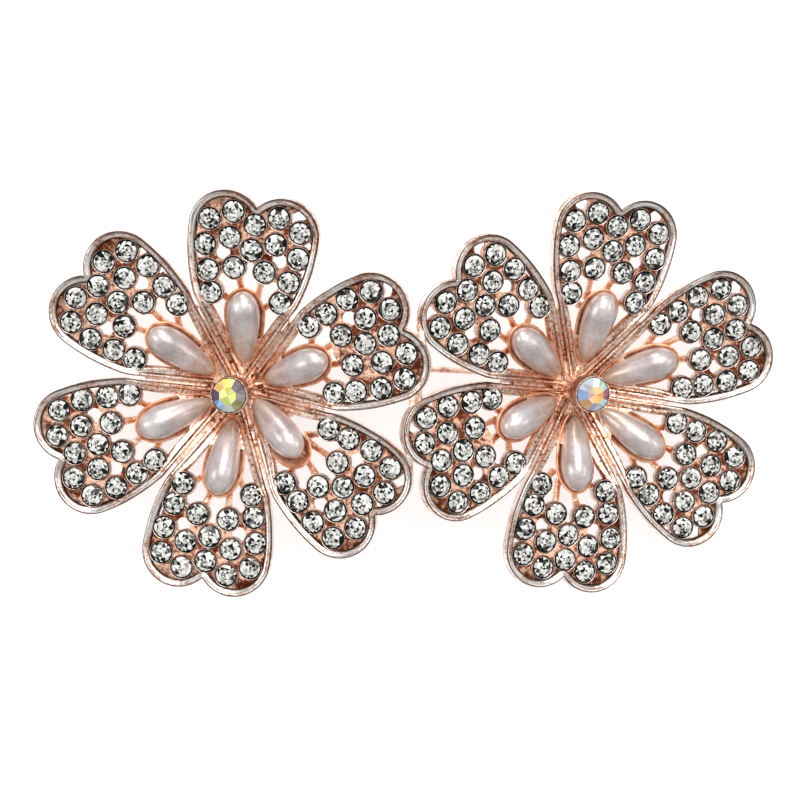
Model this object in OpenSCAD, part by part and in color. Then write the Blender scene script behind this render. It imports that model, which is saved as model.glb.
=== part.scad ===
// Double-flower cluster brooch, lying on its back: two cast flowers of six heart-shaped petals,
// joined by three small bridges, set with round stones, drop pearls and a raised centre stone.
// Millimetres. +X runs from the left flower to the right one, +Y up the brooch as it is worn,
// +Z away from the cloth. The surface that it lies on is z = 0.

/* [Flowers] */
// Distance between the middles of the two flowers
flower_gap = 40.6; // [40.2:0.1:41.5]
// Turn of each flower away from the other, in degrees
flower_turn = 12; // [10:0.5:13]
// Height of the point of the petals' cone above the surface
flower_lift = 8.9; // [8.8:0.1:9.6]
// Turn of each flower about its own axis, in degrees
flower_spin = 21.5; // [20:0.5:23]

/* [Petals] */
// Slope of a petal's outer part, in degrees
floor_slope = 5.3; // [4:0.1:8]
// Radius of each of the two lobes
lobe_r = 4.28; // [4.1:0.02:4.4]
// Distance of the lobes' centres from the flower's middle
lobe_along = 18.77; // [18.6:0.01:18.9]
// Distance of a lobe's centre from the petal's middle line
lobe_across = 3.25; // [3.1:0.01:3.4]
// Radius of the long arcs at the sides
side_r = 21.7; // [20:0.1:24]
// Thickness of the petal floor
floor_t = 0.6; // [0.5:0.05:0.65]
// Width of the rim's outer, higher step
rim_w = 0.5; // [0.4:0.05:0.6]
// Height of that step above the floor
rim_h = 0.55; // [0.4:0.05:0.8]
// Width of the whole rim
band_w = 0.95; // [0.8:0.05:1.1]
// Height of the rim's inner, lower step above the floor
band_h = 0.28; // [0.2:0.02:0.38]
// Depth of the rim below the floor's face
rim_depth = 0.8; // [0.7:0.05:0.9]

/* [Hub] */
// Distance from the middle at which the petals bend down to the hub
bend_r = 10.3; // [10.2:0.1:10.6]
// Slope of the inner part, in degrees
inner_slope = 30.8; // [29:0.2:32]
// Height of a spoke ridge above the inner part
spoke_h = 0.55; // [0.4:0.05:0.7]
// Radius of the hub disc
hub_r = 3; // [2.6:0.1:3.4]
// Height of the hub disc's face, from the point of the petals' cone
hub_face = -4.2; // [-4.5:0.1:-4]
// Thickness of the hub disc
hub_t = 1.7; // [1.4:0.1:2]

/* [Stones] */
// Diameter of a small stone
stone_d = 2.3; // [2.2:0.05:2.35]
// Height of a small stone above its girdle
stone_crown = 0.42; // [0.35:0.01:0.5]
// Depth of a small stone below its girdle
stone_pavilion = 0.85; // [0.7:0.05:0.9]
// Height of a small stone's girdle above the petal floor
stone_seat = 0.1; // [0.05:0.01:0.15]
// Radius of the hole that a small stone sits in
bore_r = 1.22; // [1.2:0.01:1.25]
// Radius of a stone cup outside
cup_r = 1.5; // [1.48:0.01:1.52]
// Radius of the thin ring round a stone
ring_r = 1.42; // [1.4:0.01:1.43]
// Height of the thin ring round a stone
ring_h = 0.18; // [0.12:0.02:0.18]
// Depth of a stone cup inside
cup_depth = 1; // [0.95:0.05:1.1]
// Thickness of a stone cup's bottom
cup_bottom = 0.25; // [0.2:0.05:0.4]
// Diameter of a centre stone
centre_d = 3.86; // [3.7:0.02:3.9]
// Height of a centre stone's table, from the point of the petals' cone
centre_top = 3.35; // [3:0.05:3.6]

/* [Pearls] */
// Length of a pearl
pearl_l = 9; // [8.6:0.1:9.1]
// Diameter of a pearl
pearl_d = 3.8; // [3.6:0.05:3.85]
// Slope of a pearl's axis, in degrees
pearl_slope = 22.7; // [22:0.1:23.5]
// Slope of the tray under a pearl, in degrees
tray_slope = 7.7; // [7:0.1:8]
// Slope of the tray's rim, in degrees
tray_rim_slope = 20.5; // [20:0.1:21]
// Height of the tray's wall at its pointed end
tray_wall_h = 0.55; // [0.4:0.05:0.7]
// Diameter of the struts between a tray and the stone cups
strut_d = 0.7; // [0.6:0.05:0.8]

/* [Pin] */
// Diameter of the pin's stem
stem_d = 0.75; // [0.7:0.05:0.9]
// Height of the stem's axis above the surface
stem_z = 1.25; // [1.2:0.05:1.3]
// Width of the pin's two base plates
plate_w = 5; // [4:0.5:5.5]
// Gap between the base plates and the pads that they are fixed to
pin_gap = 0.05; // [0.02:0.01:0.1]

/* [Hidden] */
$fn = 48;
left = -1;
right = 1;
rose = [0.84, 0.6, 0.5];
clear = [0.86, 0.87, 0.88];
pearl_white = [0.9, 0.85, 0.84];
aurora = [0.75, 0.85, 0.7];

// Stones of one half of a petal. Columns: distance along the petal, distance across it
along = 0;
across = 1;
half_stones = [
    [19.5, 0], [16.62, 0],
    [20.66, 2.62], [19.4, 5.22], [17.68, 2.64], [16.49, 5.37],
    [13.64, 4.67], [14.36, 1.78], [11.17, 4.04]];
petal_stones = concat(half_stones, [for (row = half_stones) if (row[across] > 0) [row[along], -row[across]]]);

// Kinds of gap through a petal's floor. Columns: distance along, distance across, radius, length
radius = 2;
length = 3;
web_gap = [15.8, 3.25, 0.85, 0];
lobe_slot = [21.1, 4.75, 0.75, 2.2];
lobe_gap = [21.15, 4.6, 0.75, 0.3];
side_gap = [17.95, 6.2, 0.45, 0];
low_gap = [15.15, 5.85, 0.42, 0];
notch_gap = [20.9, 1.1, 0.3, 0];

// The gaps that only some petals have. Columns: flower, petal, kind, side of the petal
extra_gaps = [
    [left, 0, lobe_slot, 1], [left, 5, lobe_slot, 1], [left, 5, notch_gap, 1], [left, 5, notch_gap, -1],
    [left, 1, lobe_slot, -1], [left, 1, side_gap, -1], [left, 1, low_gap, -1], [left, 1, low_gap, 1],
    [left, 2, side_gap, -1], [left, 2, low_gap, -1], [left, 3, low_gap, -1],
    [right, 0, lobe_gap, 1], [right, 0, side_gap, -1], [right, 0, low_gap, 1],
    [right, 1, lobe_gap, -1], [right, 1, lobe_gap, 1], [right, 1, side_gap, -1], [right, 1, side_gap, 1],
    [right, 1, low_gap, 1], [right, 2, lobe_gap, -1], [right, 2, lobe_gap, 1],
    [right, 3, lobe_slot, -1], [right, 3, side_gap, -1], [right, 4, side_gap, -1],
    [right, 5, lobe_slot, -1], [right, 5, side_gap, -1]];
// The petals whose floor is closed in the middle and on one side. Columns: flower, petal, closed side
closed_floors = [[left, 0, -1], [right, 3, -1]];

// How the trays are set, and most pearls with them.
// Columns: flower, petal, turn about the flower's middle, distance moved outwards, turn about the tip
tray_seats = [
    [left, 0, 0, 0, 0], [left, 1, -6, 0, 11], [left, 2, 2, 0, 0],
    [left, 3, 1, 0, 0], [left, 4, 0, 0, 0], [left, 5, -4, -0.5, 0],
    [right, 0, -2, 0, 0], [right, 1, -2, 0, 0], [right, 2, 0, -0.3, 0],
    [right, 3, 0, -0.5, 0], [right, 4, 3, -0.3, 0], [right, 5, 0, 0.3, 0]];
// The pearl that sits askew in its tray, with the same columns
askew_seats = [[left, 5, 14, -1.2, -21]];

// The bars of the three bridges between the flowers.
// Columns: left petal, distance along it, distance across it, the same for the right petal
bridges = [
    [0, 22.6, -2.6, 2, 21.4, 6.4], [0, 22.75, -1.9, 2, 21.9, 5.6],
    [0, 20.4, -6.9, 3, 19.6, -7.05], [0, 19.6, -7.05, 3, 20.4, -6.9],
    [5, 21.2, 6.3, 3, 22.6, -2.3], [5, 20.2, 6.85, 3, 22.7, -2.1]];
bridge_d = 0.9;

bend_z = bend_r * tan(floor_slope);
cone_z = bend_z - bend_r * tan(inner_slope);
bend_along = bend_r / cos(floor_slope);
half_w = lobe_across + lobe_r;
notch_along = lobe_along + sqrt(pow(lobe_r, 2) - pow(lobe_across, 2));
tip_r = 3.42;
tip_z = -2.35;
tray_drop = 0.8;
tray_skin = 0.22;
tray_lip = 0.55;
tray_floor_t = 0.4;
tray_reach = 5;
tray_l = pearl_l * cos(pearl_slope - tray_slope);
drop_rows = 12;
widest = 0.67;
seam = 0.35;
hub_low = hub_face - hub_t;
pad_x = flower_gap / 2 + hub_low * sin(flower_turn);
pad_z = 2.4;
pad_r = 2.7;
plate_t = 0.6;
block_w = 2.6;
// The ends of the pin. Columns: side, lowest y, highest y, y of the stem's axis
pin_ends = [
    [left, -3, 5, 3.4],
    [right, -3, 4, 0.9]];

// Distance from a petal's middle line to its side arc, moved in by inset
function side_half(at, inset) = half_w - side_r + sqrt(pow(side_r - inset, 2) - pow(lobe_along - at, 2));

// A petal's rows in the tables of seats: the tray's, then the pearl's own if it sits askew
function seats_of(flower, petal) = [for (table = [tray_seats, askew_seats]) for (row = table)
    if (row[0] == flower && row[1] == petal) row];

// Half the width of a drop at a part of its length, from the tip at 0 to the round end at 1
function drop_half(part) = part < widest
    ? pow(1 - pow(1 - part / widest, 1.8), 0.6)
    : sqrt(max(0, 1 - pow((part - widest) / (1 - widest), 2)));
function drop_part(row) = (1 - cos(180 * row / drop_rows)) / 2;

// A point of a petal's outer part, in the brooch's frame
function turned(p, turn) = [p[0] * cos(turn) - p[1] * sin(turn), p[0] * sin(turn) + p[1] * cos(turn), p[2]];
function leaned(p, turn) = [p[0] * cos(turn) + p[2] * sin(turn), p[1], p[2] * cos(turn) - p[0] * sin(turn)];
function petal_point(flower, petal, at, off, up) =
    leaned(turned(leaned([at, off, up], -floor_slope), flower_spin + 60 * petal), flower * flower_turn)
    + [flower * flower_gap / 2, 0, flower_lift];

module on_flower(flower)
    translate([flower * flower_gap / 2, 0, flower_lift])
        rotate([0, flower * flower_turn, 0])
            children();

module on_petal(flower, petal)
    on_flower(flower)
        rotate([0, 0, flower_spin + 60 * petal])
            children();

module slab(low, high)
    translate([0, 0, low])
        linear_extrude(high - low)
            children();

module both_sides()
    for (side = [0, 1])
        mirror([0, side, 0])
            children();

module bar(start, end, d) {
    way = end - start;
    translate(start)
        rotate([0, acos(way[2] / norm(way)), atan2(way[1], way[0])])
            cylinder(h = norm(way), d = d);
}

// Outline of a petal's outer part, from start along it to the lobes, moved in by inset all round
module petal_outline(inset, start) {
    r = lobe_r - inset;
    fill_along = notch_along - inset;
    fill_across = lobe_across - sqrt(pow(r, 2) - pow(fill_along - lobe_along, 2)) + 0.15;
    both_sides()
        translate([lobe_along, lobe_across])
            circle(r);
    intersection() {
        translate([lobe_along, half_w - side_r])
            circle(side_r - inset, $fn = 180);
        translate([lobe_along, side_r - half_w])
            circle(side_r - inset, $fn = 180);
        translate([start, -half_w])
            square([lobe_along - 0.4 - start, 2 * half_w]);
    }
    if (inset > 0)
        polygon([[lobe_along - 1, -lobe_across], [fill_along, -fill_across],
            [fill_along, fill_across], [lobe_along - 1, lobe_across]]);
}

module stone_circles(r)
    for (row = petal_stones)
        translate(row)
            circle(r);

module gap_shape(kind, side)
    translate([kind[along], side * kind[across]])
        rotate(side * -38)
            union() {
                for (end = [-1, 1])
                    translate([0, end * kind[length] / 2])
                        circle(kind[radius]);
                if (kind[length] > 0)
                    square([1.98 * kind[radius], kind[length]], center = true);
            }

// The large gaps of a petal, round the pearl and its struts, on its outer part
module pearl_gap(flower, petal) {
    closed = [for (row = closed_floors) if (row[0] == flower && row[1] == petal) row[2]];
    both_sides()
        polygon([[bend_along - 2, 0], [bend_along - 2, 4.1], [bend_along, 4.3], [11, 3.2], [12.4, 3.4],
            [13.3, 3.6], [13.35, 2.9], [13, 1.9], [12.8, 0.8], [12.6, 0]]);
    if (len(closed) == 0)
        polygon([[12.4, -1.1], [13.6, -0.7], [15.1, -0.35], [15.1, 0.35], [13.6, 0.7], [12.4, 1.1]]);
    for (side = [-1, 1])
        if (len(search(side, closed)) == 0)
            gap_shape(web_gap, side);
}

module petal_floor(flower, petal)
    difference() {
        petal_outline(band_w - 0.3, bend_along - 0.25);
        pearl_gap(flower, petal);
        for (row = extra_gaps)
            if (row[0] == flower && row[1] == petal)
                gap_shape(row[2], row[3]);
    }

module rim(w)
    difference() {
        petal_outline(0, bend_along - 0.05);
        petal_outline(w, bend_along - 1);
    }

// One layer of a petal, with the holes for the stones
module layer(low, high)
    slab(low, high)
        difference() {
            union()
                children();
            stone_circles(bore_r);
        }

// The outer part of a petal in layers: stone cups, floor, rings round the stones and stepped rim
module petal_face(flower, petal) {
    slab(-cup_depth - cup_bottom, -cup_depth)
        stone_circles(cup_r);
    layer(-cup_depth, -rim_depth)
        stone_circles(cup_r);
    layer(-rim_depth, -floor_t) {
        stone_circles(cup_r);
        rim(band_w);
    }
    layer(-floor_t, 0) {
        stone_circles(cup_r);
        rim(band_w);
        petal_floor(flower, petal);
    }
    layer(0, ring_h) {
        stone_circles(ring_r);
        rim(band_w);
    }
    layer(ring_h, band_h)
        rim(band_w);
    slab(band_h, rim_h)
        rim(rim_w);
}

// The inner part of a petal, from the bend down to the hub, with the ridges at its sides.
// Its floor runs a little way under each neighbour's, further on one side than on the other.
module petal_root() {
    k = 1 / cos(inner_slope);
    edge = bend_r - 1;
    far = bend_r - 0.06;
    rim_at = side_half(bend_along, 0);
    slab(-floor_t, 0)
        difference() {
            polygon([[0.8 * k, -0.7], [edge * k, 0.1 - edge * tan(30) - seam], [far * k, 0.1 - rim_at],
                [far * k, rim_at + 0.25], [edge * k, edge * tan(30) + 0.1 + seam], [0.8 * k, 0.9]]);
            polygon([[6.4 * k, -1.6], [6.9 * k, -2.75], [9 * k, -3.85], [9.9 * k, -4.95], [11 * k, -5.2],
                [11 * k, 5.2], [9.9 * k, 4.95], [9 * k, 3.85], [6.9 * k, 2.75], [6.4 * k, 1.6]]);
        }
    both_sides() {
        slab(-0.1, spoke_h)
            polygon([[1.25 * k, 0.43], [edge * k, edge * tan(30) - 0.29], [far * k + 0.15, rim_at - 0.12],
                [far * k + 0.15, rim_at - rim_w], [edge * k, edge * tan(30) - 0.87],
                [2.2 * k, 2.2 * tan(30) - 0.87], [1.25 * k, 0.08]]);
        slab(-0.15, band_h)
            polygon([[4 * k, 4 * tan(30) - 0.6], [edge * k, edge * tan(30) - 0.6],
                [far * k + 0.1, rim_at - 0.4], [far * k + 0.1, rim_at + 0.03 - band_w],
                [edge * k, edge * tan(30) - 1.3], [4 * k, 4 * tan(30) - 1.2]]);
    }
}

module drop_outline(grow) {
    rows = [for (row = [0:drop_rows]) [drop_part(row) * (tray_l + 2 * grow) - grow,
        drop_half(drop_part(row)) * (pearl_d / 2 + grow)]];
    polygon(concat(rows, [for (row = [drop_rows - 1:-1:1]) [rows[row][0], -rows[row][1]]]));
}

// The place of a tray or pearl: its tip is at the origin
module on_seat(seat)
    rotate([0, 0, seat[2]])
        translate([tip_r + seat[3], 0, tip_z])
            rotate([0, 0, seat[4]])
                children();

module on_tray(seat)
    on_seat(seat)
        translate([0, 0, -tray_drop])
            rotate([0, -tray_slope, 0])
                children();

module pearl_tray(flower, petal) {
    on_tray(seats_of(flower, petal)[0])
        intersection() {
            slab(-tray_floor_t, tray_reach)
                drop_outline(tray_lip);
            rotate([0, tray_slope - tray_rim_slope, 0])
                translate([-pearl_d, -pearl_d, tray_wall_h - tray_reach])
                    cube([pearl_d + 2 * pearl_l, 2 * pearl_d, tray_reach]);
        }
    both_sides() {
        bar([11.2, 0.9, -1.7], [13.5, 1.4, -0.1], strut_d);
        bar([10.1, 1.9, -1.8], [11, 3.1, -0.3], strut_d);
    }
}

module pearl_cavity(flower, petal)
    for (seat = seats_of(flower, petal))
        on_tray(seat)
            slab(0, tray_reach)
                drop_outline(tray_skin);

// Hub disc, centre post and the cup on it
module hub() {
    translate([0, 0, hub_low])
        cylinder(h = hub_t, r = hub_r);
    translate([0, 0, hub_low + 0.3])
        cylinder(h = -0.4 - hub_low, r1 = 1.6, r2 = 1.1);
    translate([0, 0, -0.6])
        cylinder(h = 0.9, r1 = 1.1, r2 = 2.15);
    difference() {
        translate([0, 0, 0.3])
            cylinder(h = 2.3, r = 2.15);
        translate([0, 0, 0.65])
            cylinder(h = 3, r = 1.98);
    }
}

module flower(flower)
    on_flower(flower) {
        for (petal = [0:5])
            rotate([0, 0, flower_spin + 60 * petal])
                difference() {
                    union() {
                        rotate([0, -floor_slope, 0])
                            petal_face(flower, petal);
                        translate([0, 0, cone_z])
                            rotate([0, -inner_slope, 0])
                                petal_root();
                        pearl_tray(flower, petal);
                    }
                    pearl_cavity(flower, petal);
                }
        hub();
    }

module frame()
    color(rose) {
        for (side = [left, right]) {
            flower(side);
            translate([side * pad_x, 0, pad_z])
                cylinder(h = 1.5, r = pad_r);
        }
        for (row = bridges)
            bar(petal_point(left, row[0], row[1], row[2], -0.2), petal_point(right, row[3], row[4], row[5], -0.2), bridge_d);
    }

// A cut stone: table, crown facets, girdle and pavilion, with its girdle's lower edge at z = 0
module cut_stone(d, crown, pavilion, sides) {
    girdle = 0.04 * d;
    ring = [for (i = [0:sides - 1]) [cos(360 * i / sides), sin(360 * i / sides)] * d / 2];
    points = concat([for (p = ring) [p[0], p[1], 0]], [for (p = ring) [p[0], p[1], girdle]],
        [for (p = ring) [p[0] * 0.53, p[1] * 0.53, girdle + crown]], [[0, 0, -pavilion]]);
    polyhedron(points, concat(
        [for (level = [0, 1]) for (i = [0:sides - 1]) let (j = (i + 1) % sides)
            [level * sides + i, (level + 1) * sides + i, (level + 1) * sides + j, level * sides + j]],
        [for (i = [0:sides - 1]) [3 * sides, i, (i + 1) % sides]],
        [[for (i = [sides - 1:-1:0]) 2 * sides + i]]));
}

module stones(flower)
    color(clear)
        for (petal = [0:5])
            on_petal(flower, petal)
                rotate([0, -floor_slope, 0])
                    for (i = [0:len(petal_stones) - 1])
                        translate([petal_stones[i][along], petal_stones[i][across], stone_seat])
                            rotate(37 * i)
                                cut_stone(stone_d, stone_crown, stone_pavilion, 8);

module pearl(flower, petal) {
    seats = seats_of(flower, petal);
    color(pearl_white)
        on_petal(flower, petal)
            on_seat(seats[len(seats) - 1])
                rotate([0, 90 - pearl_slope, 0])
                    rotate_extrude($fn = 64)
                        polygon([for (row = [0:2 * drop_rows]) let (part = (1 - cos(90 * row / drop_rows)) / 2)
                            [drop_half(part) * pearl_d / 2, part * pearl_l]]);
}

module centre_stone(flower)
    color(aurora)
        on_flower(flower)
            translate([0, 0, centre_top - 0.91])
                cut_stone(centre_d, 0.75, 1.6, 16);

// The pin: a plate under each pad, the blocks of its hinge and catch below them, and the stem
module pin_back()
    color(rose) {
        for (row = pin_ends)
            translate([row[0] * pad_x, 0, 0]) {
                translate([-plate_w / 2, row[1], pad_z - pin_gap - plate_t])
                    cube([plate_w, row[2] - row[1], plate_t]);
                translate([-block_w / 2, row[1], 0])
                    cube([block_w, row[2] - row[1], pad_z - pin_gap - plate_t / 2]);
            }
        bar([-pad_x, pin_ends[0][3], stem_z], [pad_x, pin_ends[1][3], stem_z], stem_d);
    }

frame();
stones(left);  // stones_left
stones(right);  // stones_right
pearl(left, 0);  // pearl_left_1
pearl(left, 1);  // pearl_left_2
pearl(left, 2);  // pearl_left_3
pearl(left, 3);  // pearl_left_4
pearl(left, 4);  // pearl_left_5
pearl(left, 5);  // pearl_left_6
pearl(right, 0);  // pearl_right_1
pearl(right, 1);  // pearl_right_2
pearl(right, 2);  // pearl_right_3
pearl(right, 3);  // pearl_right_4
pearl(right, 4);  // pearl_right_5
pearl(right, 5);  // pearl_right_6
centre_stone(left);  // centre_left
centre_stone(right);  // centre_right
pin_back();
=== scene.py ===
import bpy, bmesh
import random
from math import atan2, cos, degrees, hypot, pi, radians, sin, sqrt, tan
from mathutils import Matrix, Vector


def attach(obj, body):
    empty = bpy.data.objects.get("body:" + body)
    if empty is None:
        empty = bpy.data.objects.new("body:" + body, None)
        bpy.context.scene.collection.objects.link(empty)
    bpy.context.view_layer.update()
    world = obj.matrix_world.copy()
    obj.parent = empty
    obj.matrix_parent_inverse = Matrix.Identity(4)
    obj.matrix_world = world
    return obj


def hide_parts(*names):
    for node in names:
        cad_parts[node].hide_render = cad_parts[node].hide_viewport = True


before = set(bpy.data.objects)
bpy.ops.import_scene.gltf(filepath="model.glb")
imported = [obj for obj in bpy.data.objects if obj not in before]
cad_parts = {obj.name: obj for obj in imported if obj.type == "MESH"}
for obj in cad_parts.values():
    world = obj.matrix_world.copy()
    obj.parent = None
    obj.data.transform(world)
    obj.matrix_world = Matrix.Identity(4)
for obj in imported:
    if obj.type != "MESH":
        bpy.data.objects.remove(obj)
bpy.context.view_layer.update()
print("frame loaded:", len(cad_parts), "nodes")

# Everything is modelled in millimetres, each petal in its own frame with x along it, and placed with these
brooch = {"gap": 40.6, "turn": 12, "lift": 8.9, "spin": 21.5, "petals": 6,
          "floorSlope": 5.3, "rootSlope": 30.8, "bend": 10.3, "bendSoft": 0.4}
left, right = -1, 1
sides = ((left, "left"), (right, "right"))
floorTan = tan(radians(brooch["floorSlope"]))
rootTan = tan(radians(brooch["rootSlope"]))
seamTan = tan(radians(180 / brooch["petals"]))
toMetres = Matrix.Scale(0.001, 4)


def clamp(value):
    return min(1, max(0, value))


def petalTurn(number):
    return radians(brooch["spin"] + 360 / brooch["petals"] * number)


def flowerPlace(side):
    return (toMetres @ Matrix.Translation((side * brooch["gap"] / 2, 0, brooch["lift"]))
            @ Matrix.Rotation(radians(side * brooch["turn"]), 4, "Y"))


def petalPlace(side, number):
    return flowerPlace(side) @ Matrix.Rotation(petalTurn(number), 4, "Z")


def floorPlace(side, number):
    return petalPlace(side, number) @ Matrix.Rotation(radians(-brooch["floorSlope"]), 4, "Y")


def floorHeight(x):  # height of the petal's floor: the flat outer part, then down to the hub
    outer = x * floorTan
    inner = brooch["bend"] * floorTan + (x - brooch["bend"]) * rootTan
    soft = max(0, brooch["bendSoft"] - abs(outer - inner)) / brooch["bendSoft"]
    return min(outer, inner) - soft * soft * soft * brooch["bendSoft"] / 6


def floorUp(x):
    slope = (floorHeight(x + 0.05) - floorHeight(x - 0.05)) / 0.1
    return Vector((-slope, 0, 1)).normalized()


# Shaders

class Value:  # one output of a node, with arithmetic
    def __init__(self, paint, socket):
        self.paint, self.socket = paint, socket

    def math(self, operation, a, b):
        return self.paint.node("ShaderNodeMath", {"operation": operation}, {0: a, 1: b})[0]

    def __add__(self, other):
        return self.math("ADD", self, other)

    def __radd__(self, other):
        return self.math("ADD", other, self)

    def __mul__(self, other):
        return self.math("MULTIPLY", self, other)

    def __rmul__(self, other):
        return self.math("MULTIPLY", other, self)


class Paint:  # a material and its nodes
    def __init__(self, name):
        self.material = bpy.data.materials.new(name)
        self.material.use_nodes = True
        self.tree = self.material.node_tree
        self.tree.nodes.clear()

    def node(self, kind, settings, values):
        made = self.tree.nodes.new(kind)
        for key, value in settings.items():
            if key == "stops":
                while len(made.color_ramp.elements) < len(value):
                    made.color_ramp.elements.new(0.5)
                for element, (position, colour) in zip(made.color_ramp.elements, value):
                    element.position = position
                    element.color = (*colour, 1) if len(colour) == 3 else colour
            else:
                setattr(made, key, value)
        for key, value in values.items():
            if isinstance(value, Value):
                self.tree.links.new(value.socket, made.inputs[key])
            else:
                made.inputs[key].default_value = value
        return [Value(self, socket) for socket in made.outputs]

    def place(self):
        return self.node("ShaderNodeTexCoord", {}, {})[3]

    def noise(self, scale, detail, roughness, spot=None):
        return self.node("ShaderNodeTexNoise", {}, {"Vector": spot or self.place(), "Scale": scale,
                                                    "Detail": detail, "Roughness": roughness})[0]

    def attribute(self, name):  # a float of the mesh
        return self.node("ShaderNodeAttribute", {"attribute_name": name}, {})[2]

    def ramp(self, value, stops):
        return self.node("ShaderNodeValToRGB", {"stops": stops}, {0: value})[0]

    def blend(self, factor, a, b, how="MIX"):
        settings = {"data_type": "RGBA", "blend_type": how}
        return self.node("ShaderNodeMix", settings, {0: factor, 6: a, 7: b})[2]

    def bump(self, height, strength, distance):
        return self.node("ShaderNodeBump", {}, {"Height": height, "Strength": strength,
                                                "Distance": distance})[0]

    def finish(self, values):
        shader = self.node("ShaderNodeBsdfPrincipled", {}, values)[0]
        self.node("ShaderNodeOutputMaterial", {}, {"Surface": shader})
        return self.material


copperStops = [(0.37, (0.3, 0.1, 0.045)), (0.47, (0.92, 0.54, 0.38)), (0.57, (1.0, 0.88, 0.79))]
dent = 0.0002  # depth of the bumps in metres


# "shade" is painted shade that darkens grooves, edges and undersides, "warm" is coppery, "along" and "across"
# run along a rim and over it
def roseGold(name, tone):
    paint = Paint(name)
    grain = paint.noise(tone["grain"], 4, 0.6)
    cloud = paint.noise(tone["cloud"], 3, 0.6)
    cleanStops = [(0.385, tone["dark"]), (0.47, tone["mid"]), (0.55, tone["light"])]
    clean = paint.ramp(grain * 0.5 + cloud * 0.5, cleanStops)
    copper = paint.ramp(grain * 0.7 + cloud * 0.3, copperStops)
    plain = "plain" in tone
    colour = paint.blend(0.4 if plain else paint.attribute("warm"), clean, copper)
    height = grain * 0.7 + paint.noise(tone["grain"] * 2.7, 2, 0.5) * 0.3
    shade = 1.0 if plain else paint.attribute("shade")
    if "streaks" in tone:
        spot = paint.node("ShaderNodeCombineXYZ", {}, {0: paint.attribute("along") * 0.16,
                                                       1: paint.attribute("across") * 4})[0]
        streaks = paint.noise(tone["streaks"], 3, 0.6, spot)
        height = height * 0.6 + streaks * 0.4
        shade = shade * paint.ramp(streaks, [(0.3, (0.25, 0.25, 0.25)), (0.5, (1, 1, 1))])
    # Painted shade: where shade is low the colour goes to the tone's shade colour
    colour = paint.blend(shade, tone["shadeColour"], colour)
    return paint.finish({
        "Base Color": colour, "Metallic": tone.get("metal", 1.0), "Roughness": grain * 0.25 + tone["rough"],
        "Normal": paint.bump(height, tone["bump"], dent)})


# Each tone holds the colour of its painted shade; dark, mid and light are the metal's own tones, mixed by
# noise
goldTones = {
    "rim": {"grain": 2600, "cloud": 260, "shadeColour": (0.03, 0.011, 0.007, 1), "dark": (0.52, 0.29, 0.2),
            "mid": (0.98, 0.75, 0.65), "light": (1.0, 0.95, 0.91), "rough": 0.1, "bump": 0.32,
            "streaks": 1.6},
    "floor": {"grain": 1500, "cloud": 420, "shadeColour": (0.03, 0.006, 0.003, 1), "dark": (0.1, 0.022, 0.009),
              "mid": (0.24, 0.065, 0.028), "light": (0.92, 0.56, 0.4), "rough": 0.2, "bump": 1.0},
    "root": {"grain": 1100, "cloud": 500, "shadeColour": (0.3, 0.11, 0.055, 1), "dark": (0.5, 0.2, 0.1),
             "mid": (0.97, 0.62, 0.45), "light": (1.0, 0.92, 0.84), "rough": 0.12, "bump": 1.0},
    "cup": {"grain": 3000, "cloud": 500, "shadeColour": (0.01, 0.007, 0.005, 1), "dark": (0.5, 0.27, 0.18),
            "mid": (0.86, 0.62, 0.52), "light": (1.0, 0.88, 0.82), "rough": 0.12, "bump": 0.35},
    "tray": {"grain": 900, "cloud": 250, "shadeColour": (0.3, 0.08, 0.025, 1), "dark": (0.56, 0.2, 0.07),
             "mid": (0.72, 0.28, 0.12), "light": (0.88, 0.47, 0.27), "rough": 0.22, "bump": 0.3,
             "metal": 0.45},
    "strut": {"grain": 1300, "cloud": 500, "shadeColour": (0.3, 0.1, 0.05, 1), "dark": (0.55, 0.22, 0.11),
              "mid": (0.93, 0.56, 0.38), "light": (1.0, 0.88, 0.78), "rough": 0.14, "bump": 1.0,
              "metal": 0.8},
    "pin": {"grain": 900, "cloud": 250, "shadeColour": (0.3, 0.1, 0.05, 1), "dark": (0.62, 0.36, 0.27),
            "mid": (0.9, 0.68, 0.58), "light": (1.0, 0.88, 0.8), "rough": 0.14, "bump": 0.2, "plain": True},
}
gold = {name: roseGold(name + "Gold", tone) for name, tone in goldTones.items()}


def facetPaint(name, roughness):
    paint = Paint(name)
    colour = paint.node("ShaderNodeAttribute", {"attribute_name": "facet"}, {})[0]
    return paint.finish({"Base Color": colour, "Roughness": roughness, "IOR": 1.5,
                         "Specular IOR Level": 0.25})


stonePaint = facetPaint("cutStone", 0.07)


satinStops = [(0.38, (0.62, 0.52, 0.49)), (0.5, (0.76, 0.68, 0.655)), (0.62, (0.88, 0.83, 0.82))]
# Painted highlight and shade along the pearl, from its tip to its round end: warmer at the tip, a painted
# grey reflection band, then a painted highlight near the round end
highlightStops = [(0.05, (0.86, 0.74, 0.6)), (0.28, (0.82, 0.75, 0.68)), (0.5, (0.78, 0.73, 0.73)),
              (0.72, (0.64, 0.635, 0.65)), (0.84, (0.7, 0.7, 0.72)), (0.94, (0.8, 0.8, 0.8)),
              (1.0, (0.76, 0.72, 0.7))]


def pearlPaint():  # "shade" runs from 0 at the tip to 1 at the round end and places the painted highlight and shade, "warm" is the painted reflection of the tray
    paint = Paint("pearl")
    cloud = paint.noise(420, 2, 0.5)
    fleck = paint.noise(2600, 3, 0.7)
    body = paint.ramp(cloud * 0.6 + fleck * 0.4, satinStops)
    highlightBands = paint.ramp(paint.attribute("shade") + cloud * 0.1, highlightStops)
    toneAndHighlight = paint.blend(1.0, body, highlightBands, "MULTIPLY")
    colour = paint.blend(paint.attribute("warm") * 0.7, toneAndHighlight, (0.8, 0.56, 0.43, 1))
    return paint.finish({"Base Color": colour, "Roughness": 0.33, "Metallic": 0.5,
                         "Coat Weight": 0.5, "Coat Roughness": 0.1,
                         "Normal": paint.bump(fleck, 0.14, dent)})


pearlSatin = pearlPaint()
print("paints mixed")


# Building

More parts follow.
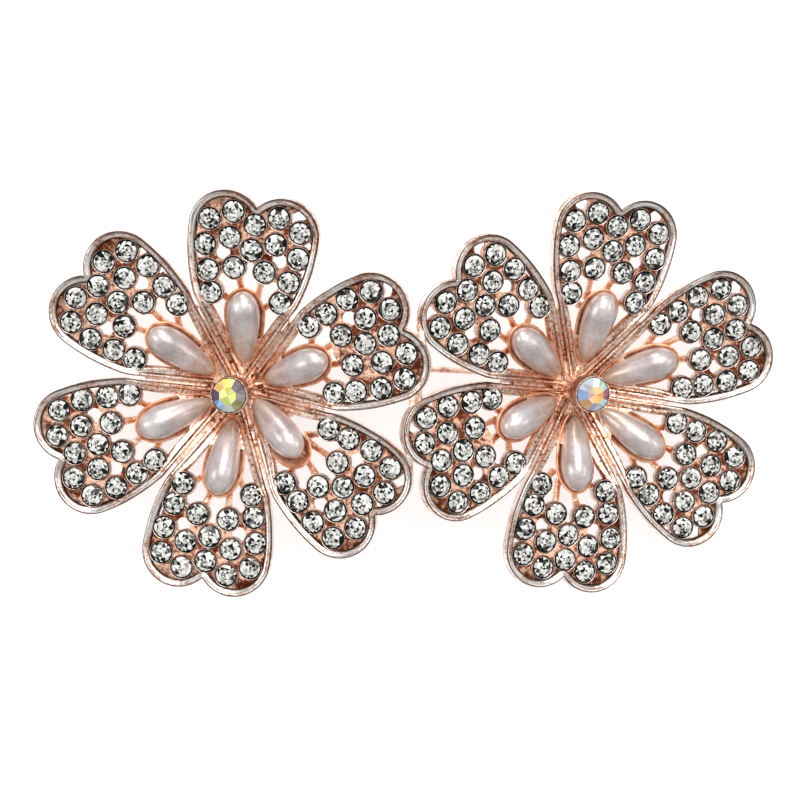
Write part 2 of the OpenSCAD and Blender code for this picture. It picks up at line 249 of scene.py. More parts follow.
def loft(bm, rings, shades=None):  # shades holds (along, warm, [shade of each point]) for each ring
    layers = {key: bm.verts.layers.float.get(key) or bm.verts.layers.float.new(key)
              for key in ("along", "across", "warm", "shade")}
    loops = []
    for i, ring in enumerate(rings):
        along, warm, dark = shades[i] if shades else (0, 0, None)
        verts = [bm.verts.new(point) for point in ring]
        for j, vert in enumerate(verts):
            vert[layers["along"]], vert[layers["warm"]] = along, warm
            vert[layers["shade"]], vert[layers["across"]] = dark[j] if dark else 1, j * 0.06
        loops.append([bm.edges.new((verts[j - 1], verts[j])) for j in range(len(verts))])
    for one, other in zip(loops, loops[1:]):
        bmesh.ops.bridge_loops(bm, edges=one + other)
    for loop in (loops[0], loops[-1]):
        bmesh.ops.contextual_create(bm, geom=loop)
    bmesh.ops.recalc_face_normals(bm, faces=bm.faces[:])


def turned(bm, profile, segments, warm=0):  # profile of (radius, height, shade) turned round the z axis
    layers = {key: bm.verts.layers.float.new(key) for key in ("warm", "shade")}
    verts = [bm.verts.new((row[0], 0, row[1])) for row in profile]
    for vert, row in zip(verts, profile):
        vert[layers["warm"]], vert[layers["shade"]] = warm, row[2] if len(row) > 2 else 1
    edges = [bm.edges.new(pair) for pair in zip(verts, verts[1:])]
    bmesh.ops.spin(bm, geom=verts + edges, cent=(0, 0, 0), axis=(0, 0, 1), angle=2 * pi, steps=segments,
                   use_merge=True)
    bmesh.ops.remove_doubles(bm, verts=bm.verts[:], dist=1e-4)
    bmesh.ops.recalc_face_normals(bm, faces=bm.faces[:])


def template(make):
    bm = bmesh.new()
    make(bm)
    mesh = bpy.data.meshes.new("template")
    bm.to_mesh(mesh)
    bm.free()
    return mesh


def place(bm, mesh, matrix):
    before = len(bm.verts)
    bm.from_mesh(mesh)
    bm.verts.ensure_lookup_table()
    bmesh.ops.transform(bm, matrix=matrix, verts=bm.verts[before:])


def piece(name, bm, material, node, sharp=40):  # sharp is the angle that stays an edge, 0 for facets
    mesh = bpy.data.meshes.new(name)
    bm.to_mesh(mesh)
    bm.free()
    for face in mesh.polygons:
        face.use_smooth = sharp > 0
    if sharp:
        mesh.set_sharp_from_angle(angle=radians(sharp))
    made = bpy.data.objects.new(name, mesh)
    bpy.context.scene.collection.objects.link(made)
    made.data.materials.append(material)
    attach(made, "root")
    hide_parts(node)


def rod(start, end, r, corners, swell):  # a thin bar, thicker at its ends by swell
    way = Vector(end) - Vector(start)
    turn = way.to_track_quat("Z", "Y").to_matrix().to_4x4()
    steps = [0, 0.12, 0.3, 0.7, 0.88, 1]
    radii = [r * grow for grow in (swell, (1 + swell) / 2, 1, 1, (1 + swell) / 2, swell)]
    angles = [2 * pi * i / corners for i in range(corners)]
    rings = [[Vector((radius * cos(angle), radius * sin(angle), way.length * step)) for angle in angles]
             for step, radius in zip(steps, radii)]
    mesh = template(lambda bm: loft(bm, rings))
    mesh.transform(Matrix.Translation(start) @ turn)
    return mesh


# The petals' rims, which run on as ridges down to the hub

petal = {"lobeR": 4.28, "lobeAlong": 18.77, "lobeAcross": 3.25, "sideR": 21.7, "cupR": 1.46,
         "ridgeGap": 0.29, "ridgeEnd": 9.9, "ridgeBlend": 1.4}
halfWidth = petal["lobeAcross"] + petal["lobeR"]
notch = petal["lobeAlong"] + sqrt(petal["lobeR"] ** 2 - petal["lobeAcross"] ** 2)
cosFloor = cos(radians(brooch["floorSlope"]))


def sideAt(x):  # half the petal's width, from its long side arc
    along = petal["lobeAlong"] - x / cosFloor
    return halfWidth - petal["sideR"] + sqrt(petal["sideR"] ** 2 - along ** 2)


def ridgeAt(x):  # outer edge of the ridge on the inner part
    ridge = x * seamTan - petal["ridgeGap"]
    part = clamp((x - petal["ridgeEnd"]) / petal["ridgeBlend"])
    part = part * part * (3 - 2 * part)
    return ridge if x < petal["ridgeEnd"] else ridge * (1 - part) + sideAt(x) * part


def rimPath():  # outer edge of the rim in plan and the direction inwards, from the hub round to the notch
    path = []
    x, sideEnd, bend = 1.35, 18.6, 8.6
    while x < sideEnd:
        ahead = Vector((0.1, ridgeAt(x + 0.1) - ridgeAt(x))).normalized()
        path.append((Vector((x, ridgeAt(x))), Vector((ahead.y, -ahead.x))))
        x += 0.55 if x < bend else 0.3
    centre = Vector((petal["lobeAlong"], petal["lobeAcross"]))
    start, stop = 89, degrees(atan2(-petal["lobeAcross"], notch - petal["lobeAlong"]))
    arcSteps, notchSteps = 32, 4
    for i in range(arcSteps + 1):
        angle = radians(start + (stop - start) * i / arcSteps)
        out = Vector((cos(angle), sin(angle)))
        spot = centre + out * petal["lobeR"]
        path.append((Vector((spot.x * cosFloor, spot.y)), -out))
    first = atan2(petal["lobeAcross"], petal["lobeAlong"] - notch)
    for i in range(1, notchSteps + 1):
        angle = first + (pi - first) * i / notchSteps
        path.append((Vector((notch * cosFloor, 0)), Vector((cos(angle), sin(angle)))))
    return path + [(Vector((p.x, -p.y)), Vector((d.x, -d.y))) for p, d in reversed(path[:-1])]


# Across the rim and across the ridge: distance inwards, height, shade. The low shades are painted shade: a
# dark outline along the rim's outer edge, down its inner slope and underneath
rimSection = [(0.03, -0.78, 0.7), (0, -0.6, 0.8), (0, 0.25, 0.9), (0.04, 0.4, 0.9), (0.09, 0.47, 0.03),
              (0.15, 0.52, 0.08), (0.21, 0.54, 1), (0.29, 0.55, 1), (0.36, 0.52, 1), (0.43, 0.44, 0.8),
              (0.5, 0.37, 0.9), (0.58, 0.34, 1), (0.68, 0.3, 0.8), (0.76, 0.26, 0.25), (0.85, 0.13, 0.12),
              (0.95, 0, 0.05), (0.95, -0.6, 0.3), (0.85, -0.78, 0.7)]
ridgeSection = [(0, -0.6, 0.5), (-0.02, -0.2, 0.55), (0, 0.1, 0.6), (0.05, 0.3, 0.9), (0.12, 0.44, 1),
                (0.2, 0.52, 1), (0.3, 0.55, 1), (0.4, 0.52, 1), (0.5, 0.42, 1), (0.57, 0.28, 0.8),
                (0.63, 0.18, 0.7), (0.72, 0.14, 0.95), (0.95, 0.12, 1), (1.12, 0.08, 1), (1.2, 0.02, 0.9),
                (1.22, -0.2, 0.7), (1.22, -0.55, 0.6), (1.1, -0.6, 0.6)]
rimTurn = {"start": 8.2, "length": 2.6}  # where the ridge's section passes into the rim's
rimEdgeShade = {"from": 0.07, "to": 0.3, "dark": 0.92, "lean": 0.5}  # the band of painted shade, darkest where it faces up
rimRough = 0.007
random.seed(7)


def makeRim(bm, turn):  # turn is the petal's own, and edges that face up the brooch get more painted shade
    rings, shades, length, last = [], [], 0, None
    path = rimPath()
    for number, (spot, inward) in enumerate(path):
        up = floorUp(spot.x)
        base = Vector((spot.x, spot.y, floorHeight(spot.x)))
        across = Vector((inward.x, inward.y, 0))
        across = (across - up * across.dot(up)).normalized()
        outer = clamp((spot.x - rimTurn["start"]) / rimTurn["length"])
        rows = [[a * (1 - outer) + b * outer for a, b in zip(ridge, rim)]
                for ridge, rim in zip(ridgeSection, rimSection)]
        rough = 0 if number in (0, len(path) - 1) else rimRough  # the cast metal is uneven
        rings.append([base + across * (inwards + random.uniform(0, rough))
                      + up * (height + random.uniform(-rough, rough)) for inwards, height, _ in rows])
        length += (base - last).length if last else 0
        last = base
        # Painted shade on the edge band, deepest where the rim faces up the brooch
        facing = outer * max(0, -sin(atan2(inward.y, inward.x) + turn + rimEdgeShade["lean"]))
        darker = 1 - rimEdgeShade["dark"] * facing
        dark = [shade * darker if rimEdgeShade["from"] < inwards < rimEdgeShade["to"] else shade
                for inwards, _, shade in rows]
        shades.append((length, clamp((13.5 - spot.x) / 5), dark))
    loft(bm, rings, shades)


# The pierced floor. Stones and gaps are given by distance along the petal and across it

halfStones = [(19.5, 0), (16.62, 0), (20.66, 2.62), (19.4, 5.22), (17.68, 2.64), (16.49, 5.37),
              (13.64, 4.67), (14.36, 1.78), (11.17, 4.04)]
stones = [(x, s * y) for x, y in halfStones for s in ((1, -1) if y else (1,))]

# Gaps: distance along, distance across, radius, straight length. extraGaps says on which side they are
webGap = (15.8, 3.25, 0.85, 0)
lobeSlot = (21.1, 4.75, 0.75, 2.2)
lobeGap = (21.15, 4.6, 0.75, 0.3)
sideGap = (17.95, 6.2, 0.45, 0)
lowGap = (15.15, 5.85, 0.42, 0)
notchGap = (20.9, 1.1, 0.3, 0)
extraGaps = {
    (left, 0): [(lobeSlot, 1)], (left, 5): [(lobeSlot, 1), (notchGap, 1), (notchGap, -1)],
    (left, 1): [(lobeSlot, -1), (sideGap, -1), (lowGap, -1), (lowGap, 1)],
    (left, 2): [(sideGap, -1), (lowGap, -1)], (left, 3): [(lowGap, -1)],
    (right, 0): [(lobeGap, 1), (sideGap, -1), (lowGap, 1)],
    (right, 1): [(lobeGap, -1), (lobeGap, 1), (sideGap, -1), (sideGap, 1), (lowGap, 1)],
    (right, 2): [(lobeGap, -1), (lobeGap, 1)], (right, 3): [(lobeSlot, -1), (sideGap, -1)],
    (right, 4): [(sideGap, -1)], (right, 5): [(lobeSlot, -1), (sideGap, -1)]}
closedSide = {(left, 0): -1, (right, 3): -1}
loopPoints = 20
slotLean = -38


def slotLoop(gap, side):
    x, y, r, length = gap
    turn = Matrix.Rotation(radians(side * slotLean), 2)
    loop = []
    for i in range(loopPoints):
        angle = 2 * pi * (i + 0.5) / loopPoints
        point = Vector((r * cos(angle), r * sin(angle) + (length / 2 if sin(angle) > 0 else -length / 2)))
        loop.append(Vector((x, side * y)) + turn @ point)
    return loop


def openingLoop(closed):  # the large gap round the tray
    half = [(6.4, 0), (6.4, 1.6), (6.9, 2.75), (9, 3.85), (10.3, 4.3), (11, 3.2), (12.4, 3.4), (13.3, 3.6),
            (13.35, 2.9), (13, 1.9)]
    half += [(12.8, 0.8), (12.6, 0)] if closed else [(12.9, 1.1), (13.6, 0.75), (15.1, 0.35), (15.1, 0)]
    points = [Vector(p) for p in half] + [Vector((x, -y)) for x, y in reversed(half[1:-1])]
    loop = []
    for a, b in zip(points, points[1:] + points[:1]):
        steps = max(1, round((b - a).length / 0.22))
        loop += [a.lerp(b, i / steps) for i in range(steps)]
    return loop


def clearOfCups(loop):  # pushes a gap's edge out of the stones' cups and in from the rim
    cup, reach, passes = petal["cupR"] - 0.04, 3.45, 4
    for _ in range(passes):
        for point in loop:
            for stone in stones:
                away = point - Vector(stone)
                if away.length < cup:
                    point += away.normalized() * (cup - away.length)
            out = point - Vector((petal["lobeAlong"], petal["lobeAcross"] * (1 if point.y > 0 else -1)))
            if point.x > petal["lobeAlong"] and out.length > reach:
                point -= out.normalized() * (out.length - reach)
    return loop


def floorEdge(x):  # the inner part runs under its neighbour's, the outer part ends under the rim
    if x < 9.2:
        return x * seamTan + 0.1
    return ridgeAt(x) - (0.1 + 0.5 * min(1, (x - 9.2) / 1.2))


def floorLoops(side, number):
    closed = closedSide.get((side, number))
    edge = []
    x, sideEnd, inset, hole = 0.9, 18.4, 0.6, 1.19
    while x < sideEnd:
        edge.append(Vector((x, floorEdge(x))))
        x += 0.4
    centre = Vector((petal["lobeAlong"], petal["lobeAcross"]))
    start, stop = 88, degrees(atan2(-petal["lobeAcross"], notch - petal["lobeAlong"])) + 7
    arcSteps = 18
    for i in range(arcSteps + 1):
        angle = radians(start + (stop - start) * i / arcSteps)
        edge.append(centre + Vector((cos(angle), sin(angle))) * (petal["lobeR"] - inset))
    edge.append(Vector((notch - inset, 0)))
    loops = [edge + [Vector((p.x, -p.y)) for p in reversed(edge[:-1])]]
    turns = [2 * pi * i / loopPoints for i in range(loopPoints)]
    loops += [[Vector((x + hole * cos(turn), y + hole * sin(turn))) for turn in turns] for x, y in stones]
    gaps = [openingLoop(closed is not None)]
    gaps += [slotLoop(webGap, s) for s in (1, -1) if s != closed]
    gaps += [slotLoop(gap, s) for gap, s in extraGaps.get((side, number), [])]
    return loops + [clearOfCups(gap) for gap in gaps]


# edgeShade is painted shade on the floor within shadeWidth of the rim, lowShade painted shade on its
# underside
floorSheet = {"thick": 0.6, "shadeWidth": 0.3, "edgeShade": 0.1, "lowShade": 0.8,
              "warmFrom": 12, "warmOver": 3}


def floorMesh(side, number):
    curve = bpy.data.curves.new("floor", "CURVE")
    curve.dimensions, curve.fill_mode = "2D", "BOTH"
    loops = floorLoops(side, number)
    for loop in loops:
        spline = curve.splines.new("POLY")
        spline.points.add(len(loop) - 1)
        for point, spot in zip(spline.points, loop):
            point.co = (spot.x, spot.y, 0, 1)
        spline.use_cyclic_u = True
    carrier = bpy.data.objects.new("floor", curve)
    bm = bmesh.new()
    bm.from_mesh(carrier.to_mesh())
    carrier.to_mesh_clear()
    bpy.data.objects.remove(carrier)
    bmesh.ops.remove_doubles(bm, verts=bm.verts[:], dist=1e-4)
    for cut in (brooch["bend"] - 0.3, brooch["bend"], brooch["bend"] + 0.3):
        bmesh.ops.bisect_plane(bm, geom=bm.verts[:] + bm.edges[:] + bm.faces[:], dist=1e-5,
                               plane_co=(cut, 0, 0), plane_no=(1, 0, 0))
    shade = bm.verts.layers.float.new("shade")
    warm = bm.verts.layers.float.new("warm")
    # Painted shade along the floor's edge under the rim
    for vert in bm.verts:
        edge = min((vert.co.xy - spot).length for spot in loops[0])
        vert[shade] = floorSheet["edgeShade"] if edge < floorSheet["shadeWidth"] else 1
        vert[warm] = clamp((floorSheet["warmFrom"] - vert.co.x) / floorSheet["warmOver"])
    low = bmesh.ops.extrude_face_region(bm, geom=bm.faces[:])["geom"]
    bmesh.ops.translate(bm, verts=[g for g in low if isinstance(g, bmesh.types.BMVert)],
                        vec=(0, 0, -floorSheet["thick"]))
    for vert in bm.verts:
        x, height = vert.co.x, vert.co.z
        # No painted shade on the inner part; painted shade on the outer part's underside
        if x < 10:
            vert[shade] = 1
        elif height < -0.1:
            vert[shade] = floorSheet["lowShade"]
        vert.co = Vector((x, vert.co.y, floorHeight(x))) + floorUp(x) * height
    bmesh.ops.recalc_face_normals(bm, faces=bm.faces[:])
    mesh = bpy.data.meshes.new("floor")
    bm.to_mesh(mesh)
    bm.free()
    return mesh


# Across a stone's cup: radius, height, shade; the low shade on its inner wall and at its foot is painted
# shade
cupSection = [(0, -1.22, 0.9), (1.38, -1.2, 0.9), (petal["cupR"], -1.1, 0.9), (petal["cupR"], -0.45, 0.7),
              (petal["cupR"], 0, 0.12), (1.43, 0.08, 0.5), (1.4, 0.15, 1), (1.37, 0.19, 1), (1.33, 0.17, 0.5),
              (1.29, 0.13, 0.03), (1.22, 0.04, 0), (1.2, -0.5, 0), (0, -0.92, 0)]
cupMesh = template(lambda bm: turned(bm, cupSection, 20))

for side, name in sides:
    rims, floors, cups = bmesh.new(), bmesh.new(), bmesh.new()
    for number in range(brooch["petals"]):
        place(rims, template(lambda bm: makeRim(bm, petalTurn(number))), petalPlace(side, number))
        place(floors, floorMesh(side, number), petalPlace(side, number))
        for x, y in stones:
            place(cups, cupMesh, floorPlace(side, number) @ Matrix.Translation((x, y, 0)))
    piece("rims_" + name, rims, gold["rim"], "frame")
    piece("floors_" + name, floors, gold["floor"], "frame", 30)
    piece("cups_" + name, cups, gold["cup"], "frame", 50)
print("rims, floors and cups built")

# Pearls, their trays and the struts

pearl = {"length": 9, "d": 3.8, "slope": 22.7, "tip": (3.42, -2.35), "widest": 0.67, "segments": 40}
# Turn about the flower's middle, distance moved outwards, turn about the pearl's tip
traySeats = {(left, 1): (-6, 0, 11), (left, 2): (2, 0, 0), (left, 3): (1, 0, 0), (left, 5): (-4, -0.5, 0),
             (right, 0): (-2, 0, 0), (right, 1): (-2, 0, 0), (right, 2): (0, -0.3, 0),
             (right, 3): (0, -0.5, 0), (right, 4): (3, -0.3, 0), (right, 5): (0, 0.3, 0)}
pearlSeats = {**traySeats, (left, 5): (14, -1.2, -21)}
tray = {"slope": 7.7, "rimSlope": 20.5, "drop": 0.8, "length": pearl["length"] * cos(radians(15))}


def dropHalf(part):  # half the width of the drop, as a part of its greatest half width
    if part < pearl["widest"]:
        return (1 - (1 - part / pearl["widest"]) ** 1.8) ** 0.6
    return sqrt(max(0, 1 - ((part - pearl["widest"]) / (1 - pearl["widest"])) ** 2))


def seatPlace(seats, side, number):
    turn, out, skew = seats.get((side, number), (0, 0, 0))
    tip = Matrix.Translation((pearl["tip"][0] + out, 0, pearl["tip"][1]))
    return (petalPlace(side, number) @ Matrix.Rotation(radians(turn), 4, "Z") @ tip
            @ Matrix.Rotation(radians(skew), 4, "Z"))


def dropParts(steps):  # steps along the drop, closer together at its ends
    return [(1 - cos(pi * i / steps)) / 2 for i in range(steps + 1)]


def makePearl(bm):
    profile = [(dropHalf(p) * pearl["d"] / 2, p * pearl["length"], p) for p in dropParts(pearl["segments"])]
    turned(bm, profile, pearl["segments"])
    warm = bm.verts.layers.float["warm"]
    for vert in bm.verts:  # it lies on its +x side, which gets the painted reflection of the tray
        low = vert.co.x / max(0.001, hypot(vert.co.x, vert.co.y))
        vert[warm] = clamp((low + 0.55) / 0.7)


def dropRing(grow, height, rise=0):  # rise is its slope against the tray's bottom
    side = []
    for p in dropParts(pearl["segments"] // 2):
        x = p * (tray["length"] + 2 * grow) - grow
        side.append(Vector((x, dropHalf(p) * (pearl["d"] / 2 + grow), height + rise * x)))
    return side + [Vector((p.x, -p.y, p.z)) for p in reversed(side[1:-1])]


# Grown by, height, part of the rim's slope, warm
traySection = [(-1.2, -0.4, 0, 0), (-0.75, -0.4, 0, 0), (-0.35, -0.25, 0.2, 0), (0.05, 0, 0.55, 0),
               (0.35, 0.25, 0.85, 0), (0.5, 0.4, 1, 0), (0.5, 0.48, 1, 0), (0.43, 0.54, 1, 0),
               (0.34, 0.57, 1, 0.2), (0.26, 0.52, 1, 0.4), (0.2, 0.45, 1, 0.4), (0.1, 0.36, 1, 0.4),
               (0, 0.27, 1, 0.4), (-0.05, 0.14, 1, 0.4), (-0.15, 0, 1, 0.4), (-0.45, -0.3, 1, 0.4),
               (-0.7, 0, 0.25, 0.4), (-1.2, 0.02, 0, 0.4)]
pearlRoom = {"grow": 0.24, "low": 0.03, "high": 5}


def makeTray(bm):
    rise = tan(radians(tray["rimSlope"] - tray["slope"]))
    rings = [dropRing(grow, height, part * rise) for grow, height, part, _ in traySection]
    loft(bm, rings, [(0, row[3], None) for row in traySection])


def cutTray(mesh, matrix):  # gives way to a pearl that sits askew, placed by matrix
    rings = [dropRing(pearlRoom["grow"], pearlRoom[end]) for end in ("low", "high")]
    room = template(lambda bm: loft(bm, rings))
    room.transform(matrix)
    carrier, cutter = [bpy.data.objects.new("cut", data) for data in (mesh.copy(), room)]
    for one in (carrier, cutter):
        bpy.context.scene.collection.objects.link(one)
    cut = carrier.modifiers.new("cut", "BOOLEAN")
    cut.operation, cut.object, cut.solver, cut.use_self = "DIFFERENCE", cutter, "EXACT", True
    made = bpy.data.meshes.new_from_object(carrier.evaluated_get(bpy.context.evaluated_depsgraph_get()))
    for one in (carrier, cutter):
        bpy.data.objects.remove(one)
    return made


pearlMesh = template(makePearl)
trayMesh = template(makeTray)
pearlLie = Matrix.Rotation(radians(90 - pearl["slope"]), 4, "Y")
trayLie = Matrix.Translation((0, 0, -tray["drop"])) @ Matrix.Rotation(radians(-tray["slope"]), 4, "Y")
# Where the struts leave the tray and where they meet the floor
strutEnds = [(Vector(a), Vector(b)) for s in (1, -1) for a, b in (
    ((11.2, 0.9 * s, -1.7), (13.5, 1.4 * s, -0.15)), ((10.1, 1.9 * s, -1.8), (11, 3.1 * s, -0.35)))]
strut = {"r": 0.4, "swell": 1.3, "root": 0.5, "longRoot": 1.2}
for side, name in sides:
    trays, bars = bmesh.new(), bmesh.new()
    for number in range(brooch["petals"]):
        one = bmesh.new()
        pearlSeat, traySeat = [seatPlace(seats, side, number) for seats in (pearlSeats, traySeats)]
        place(one, pearlMesh, pearlSeat @ pearlLie)
        piece(f"pearl_{name}_{number + 1}_satin", one, pearlSatin, f"pearl_{name}_{number + 1}", 80)
        askew = pearlSeats.get((side, number)) != traySeats.get((side, number))
        tub = cutTray(trayMesh, (traySeat @ trayLie).inverted() @ pearlSeat @ trayLie) if askew else trayMesh
        place(trays, tub, traySeat @ trayLie)
        for a, b in strutEnds:
            root = (a - b).normalized() * strut["longRoot" if askew else "root"]
            place(bars, rod(a + root, b, strut["r"], 10, strut["swell"]), petalPlace(side, number))
    piece("trays_" + name, trays, gold["tray"], "frame", 45)
    piece("struts_" + name, bars, gold["strut"], "frame", 45)
print("pearls and trays built")

# Hubs with their centre posts, and the bridges

hub = {"low": -5.9, "face": -4.2, "r": 3, "segments": 40}
nuggetCount = 46
# The hub's disc, the waisted post and the centre stone's cup: radius, height, shade, whose low values in and
# round the cup are painted shade
hubSection = [(0, hub["low"]), (hub["r"] - 0.2, hub["low"]), (hub["r"], hub["low"] + 0.2),
              (hub["r"], hub["face"] - 0.1), (hub["r"] - 0.2, hub["face"]), (1.7, hub["face"] + 0.1),
              (1.45, -3.6), (1.3, -2.4), (1.18, -1.2), (1.12, -0.5), (1.4, -0.1), (2.0, 0.3),
              (2.13, 0.6, 0.5), (2.15, 2.35, 0.4), (2.1, 2.55), (2.02, 2.55), (1.98, 2.45, 0.02),
              (1.96, 0.7, 0.02), (0, 0.65, 0.02)]
hubMesh = template(lambda bm: turned(bm, hubSection, hub["segments"], 1))


def makeNuggets(bm):  # the cast metal's lumps between the ends of the spokes
    for _ in range(nuggetCount):
        r, angle, size = random.uniform(2.3, 5.2), random.uniform(0, 2 * pi), random.uniform(0.12, 0.3)
        lump = bmesh.ops.create_icosphere(bm, subdivisions=1, radius=size)["verts"]
        spot = Vector((r * cos(angle), r * sin(angle), floorHeight(r) + 0.1 + 0.3 * random.random()))
        grow = [random.uniform(0.6, 1.5) for _ in range(3)]
        bmesh.ops.transform(bm, verts=lump, matrix=Matrix.Translation(spot) @ Matrix.Rotation(angle, 4, "Z")
                            @ Matrix.Diagonal((*grow, 1)))


# The pad under each hub, which the pin is soldered to
padX = brooch["gap"] / 2 + hub["low"] * sin(radians(brooch["turn"]))
padSection = [(0, 2.4), (2.6, 2.4), (2.7, 2.5), (2.7, 3.9), (0, 3.9)]
padMesh = template(lambda bm: turned(bm, padSection, hub["segments"]))

# Bridges: the left flower's petal, distance along it and across, then the same of the right flower's
bridges = [(0, 22.6, -2.6, 2, 21.4, 6.4), (0, 22.75, -1.9, 2, 21.9, 5.6), (0, 20.4, -6.9, 3, 19.6, -7.05),
           (0, 19.6, -7.05, 3, 20.4, -6.9), (5, 21.2, 6.3, 3, 22.6, -2.3), (5, 20.2, 6.85, 3, 22.7, -2.1)]
bridge = {"height": -0.2, "r": 0.42, "swell": 1.06}


def bridgeEnd(side, number, along, across):
    return toMetres.inverted() @ floorPlace(side, number) @ Vector((along, across, bridge["height"]))


for side, name in sides:
    hubs = bmesh.new()
    place(hubs, hubMesh, flowerPlace(side))
    place(hubs, template(makeNuggets), flowerPlace(side))
    place(hubs, padMesh, toMetres @ Matrix.Translation((side * padX, 0, 0)))
    piece("hub_" + name, hubs, gold["root"], "frame")
links = bmesh.new()
for row in bridges:
    ends = bridgeEnd(left, *row[:3]), bridgeEnd(right, *row[3:])
    place(links, rod(*ends, bridge["r"], 12, bridge["swell"]), toMetres)
piece("bridges", links, gold["root"], "frame")
print("hubs and bridges built")

# Cut stones

def cutStone(rings, tip):  # rings of (segments, radius, height, turn) from the table out to the girdle
    def make(bm):
        loops = []
        for segments, r, height, turn in rings:
            before = len(bm.edges)
            verts = bmesh.ops.create_circle(bm, segments=segments, radius=r)["verts"]
            bmesh.ops.rotate(bm, verts=verts, cent=(0, 0, 0), matrix=Matrix.Rotation(turn, 3, "Z"))
            bmesh.ops.translate(bm, verts=verts, vec=(0, 0, height))
            bm.edges.ensure_lookup_table()
            loops.append(bm.edges[before:])
        for one, other in zip(loops, loops[1:]):
            bmesh.ops.bridge_loops(bm, edges=one + other)
        face = bmesh.ops.contextual_create(bm, geom=loops[0])["faces"]
        bmesh.ops.poke(bm, faces=face)
        cone = bmesh.ops.extrude_edge_only(bm, edges=loops[-1])["geom"]
        points = [g for g in cone if isinstance(g, bmesh.types.BMVert)]
        bmesh.ops.pointmerge(bm, verts=points, merge_co=(0, 0, tip))
        bmesh.ops.triangulate(bm, faces=bm.faces[:])
        bmesh.ops.recalc_face_normals(bm, faces=bm.faces[:])
    return template(make)


facets = 8
stoneMesh = cutStone([(facets, 0.26, 0.4, 0), (facets, 0.56, 0.4, pi / facets), (facets, 0.86, 0.22, 0),
                      (3 * facets, 1.135, 0.03, 0), (3 * facets, 1.17, -0.03, pi / 24)], -0.85)
stoneSeat = {"small": 0.19, "centre": 2.59}  # the girdle's height over the floor or the flower's middle
# Outer edge of each ring and the chance there of a black, dark, mid, light and white facet: painted
# reflections in the stone, and in the outermost ring round the girdle mostly black painted shade
odds = [(0.3, (0.17, 0.1, 0.2, 0.34, 0.19)), (0.5, (0.15, 0.1, 0.16, 0.34, 0.25)),
        (0.8, (0.13, 0.09, 0.13, 0.36, 0.29)), (1.1, (0.19, 0.09, 0.09, 0.29, 0.34)),
        (9, (0.85, 0.12, 0.03, 0, 0))]
reflectionGreys = [(0.003, 0.003, 0.003), (0.055, 0.054, 0.05), (0.24, 0.237, 0.22), (0.54, 0.535, 0.505),
         (0.84, 0.832, 0.8)]
# A stone's painted dimmer sector and its painted black reflection line: radius, cosine of half the angle,
# chance, tones darker
dimSector = {"reach": 1.1, "width": 0.86, "chance": 0.45, "tones": 2}
blackReflection = {"reach": 0.3, "width": 0.99}


def facetsInTurn(mesh):  # from the middle outwards and round, since the builders' own order varies
    def key(facet):
        turn = (atan2(facet.center.y, facet.center.x) + 0.01) % (2 * pi)
        return round(hypot(facet.center.x, facet.center.y), 3), round(turn, 3)
    return sorted(mesh.polygons, key=key)


# Each facet gets a grey that paints its reflection
def shadeStone(bm, first, layer):
    bm.faces.ensure_lookup_table()
    dim, cut = random.random() * 2 * pi, random.random() * 2 * pi
    for flat in facetsInTurn(stoneMesh):
        face, spot = bm.faces[first + flat.index], flat.center
        reach = hypot(spot.x, spot.y)
        tone = random.choices(range(len(reflectionGreys)), next(row for edge, row in odds if reach < edge))[0]
        angle = atan2(spot.y, spot.x)
        dimmed = reach < dimSector["reach"] and cos(angle - dim) > dimSector["width"]
        if dimmed and random.random() < dimSector["chance"]:
            tone = max(0, tone - dimSector["tones"])
        if reach > blackReflection["reach"] and cos(angle - cut) > blackReflection["width"]:
            tone = 0
        for loop in face.loops:
            loop[layer] = (*reflectionGreys[tone], 1)


for side, name in sides:
    bm = bmesh.new()
    layer = bm.loops.layers.float_color.new("facet")
    for number in range(brooch["petals"]):
        for x, y in stones:
            first = len(bm.faces)
            spot = floorPlace(side, number) @ Matrix.Translation((x, y, stoneSeat["small"]))
            place(bm, stoneMesh, spot @ Matrix.Rotation(random.random() * 2 * pi, 4, "Z"))
            shadeStone(bm, first, layer)
    piece("stones_" + name + "_cut", bm, stonePaint, "stones_" + name, 0)

# The coated stones: colours of the crown's facets and of the table's wedges, from the +x side anticlockwise;
# the coat's colours, each facet made lighter or darker at random as a painted reflection
centreMesh = cutStone([(facets, 1.02, 0.75, pi / facets), (2 * facets, 1.93, 0, 0),
                       (2 * facets, 1.93, -0.15, 0)], -1.7)
tableReach = 0.95
coats = {
    left: {"crown": [(0.30, 0.26, 0.26), (0.22, 0.19, 0.2), (0.93, 0.88, 0.2), (0.9, 0.55, 0.2),
                     (0.12, 0.07, 0.18), (0.35, 0.48, 0.75), (0.7, 0.76, 0.72), (0.33, 0.3, 0.12)],
           "table": [(0.75, 0.72, 0.2), (0.85, 0.83, 0.35), (0.7, 0.62, 0.1), (0.75, 0.75, 0.3),
                     (0.6, 0.68, 0.25), (0.5, 0.55, 0.2), (0.62, 0.68, 0.1), (0.8, 0.85, 0.45)]},
    right: {"crown": [(0.42, 0.15, 0.19), (0.42, 0.55, 0.45), (0.75, 0.95, 0.94), (0.42, 0.42, 0.46),
                      (0.3, 0.42, 0.72), (0.7, 0.4, 0.2), (0.62, 0.6, 0.8), (0.65, 0.92, 0.95)],
            "table": [(0.9, 0.42, 0.2), (0.85, 0.6, 0.3), (0.7, 0.56, 0.25), (0.75, 0.6, 0.42),
                      (0.78, 0.52, 0.5), (0.85, 0.55, 0.4), (0.9, 0.52, 0.2), (0.9, 0.4, 0.12)]}}
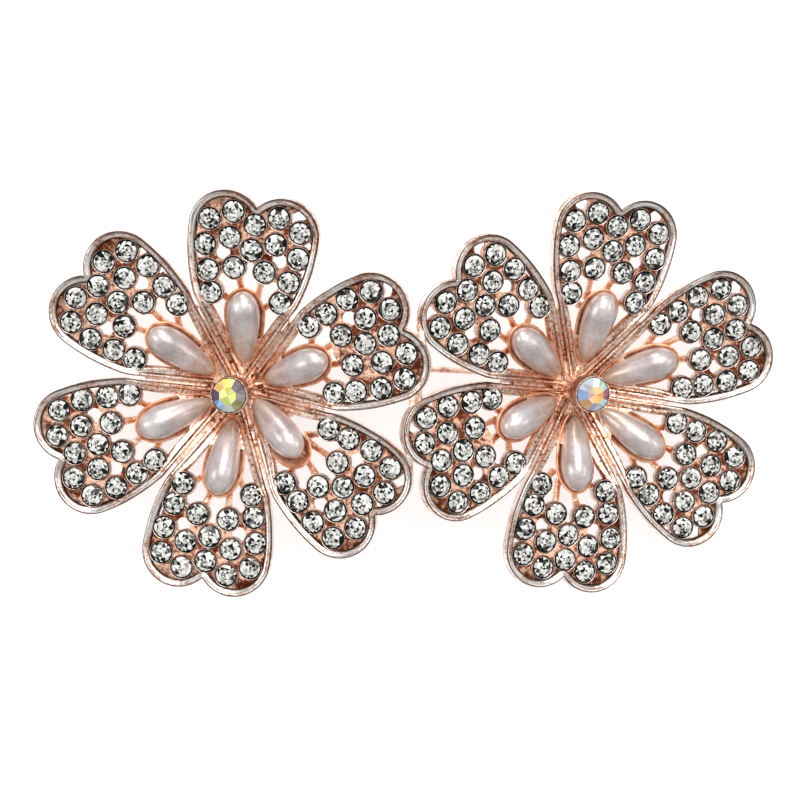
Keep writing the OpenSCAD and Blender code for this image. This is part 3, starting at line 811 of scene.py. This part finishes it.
for side, name in sides:
    bm = bmesh.new()
    layer = bm.loops.layers.float_color.new("facet")
    place(bm, centreMesh, flowerPlace(side) @ Matrix.Translation((0, 0, stoneSeat["centre"])))
    bm.faces.ensure_lookup_table()
    for flat in facetsInTurn(centreMesh):
        face, spot = bm.faces[flat.index], flat.center
        kind = "table" if hypot(spot.x, spot.y) < tableReach else "crown"
        colour = coats[side][kind][round(atan2(spot.y, spot.x) / (2 * pi / facets)) % facets]
        reflectionJitter = 0.55 + 0.65 * random.random()
        for loop in face.loops:
            loop[layer] = (*[min(1, c * reflectionJitter) for c in colour], 1)
    piece("centre_" + name + "_cut", bm, stonePaint, "centre_" + name, 0)
print("stones cut")

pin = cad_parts["pin_back"]
pin.data.materials.clear()
pin.data.materials.append(gold["pin"])

# Floor, light and camera

bpy.ops.mesh.primitive_plane_add(size=3)
ground = bpy.context.object
ground.name = "ground"
paper = Paint("paper")
ground.data.materials.append(paper.finish({"Base Color": (0.6, 0.6, 0.6, 1), "Roughness": 0.9,
                                           "Emission Color": (1, 1, 1, 1), "Emission Strength": 0.6}))

# Soft boxes: place, size, power
boxes = {"top": ((0.05, 0.36, 0.62), 0.5, 3.2), "back": ((-0.1, 0.8, 0.3), 0.3, 1.6),
         "left": ((-0.6, 0.1, 0.45), 0.3, 1), "right": ((0.6, 0.1, 0.5), 0.3, 0.6)}
for name, (spot, size, power) in boxes.items():
    data = bpy.data.lights.new(name, "AREA")
    data.energy, data.size = power, size
    lamp = bpy.data.objects.new(name, data)
    lamp.location = spot
    lamp.rotation_euler = (-Vector(spot)).to_track_quat("-Z", "Y").to_euler()
    bpy.context.scene.collection.objects.link(lamp)

world = bpy.data.worlds.new("studio")
bpy.context.scene.world = world
world.use_nodes = True
background = world.node_tree.nodes["Background"]
background.inputs["Color"].default_value = (1, 1, 1, 1)
background.inputs["Strength"].default_value = 0.62

# The photo's focal length and width are in pixels
photo = {"focal": 2112, "width": 800}
camera = bpy.data.objects.new("camera", bpy.data.cameras.new("camera"))
camera.data.sensor_width = 36
camera.data.lens = photo["focal"] / photo["width"] * camera.data.sensor_width
camera.location = (-0.023256, 0.026821, 0.249123)
camera.rotation_euler = (radians(-6.588), radians(-5.197), radians(0.45))
camera.data.clip_start, camera.data.clip_end = 0.01, 10
bpy.context.scene.collection.objects.link(camera)
bpy.context.scene.camera = camera
bpy.context.scene.view_settings.view_transform = "Standard"
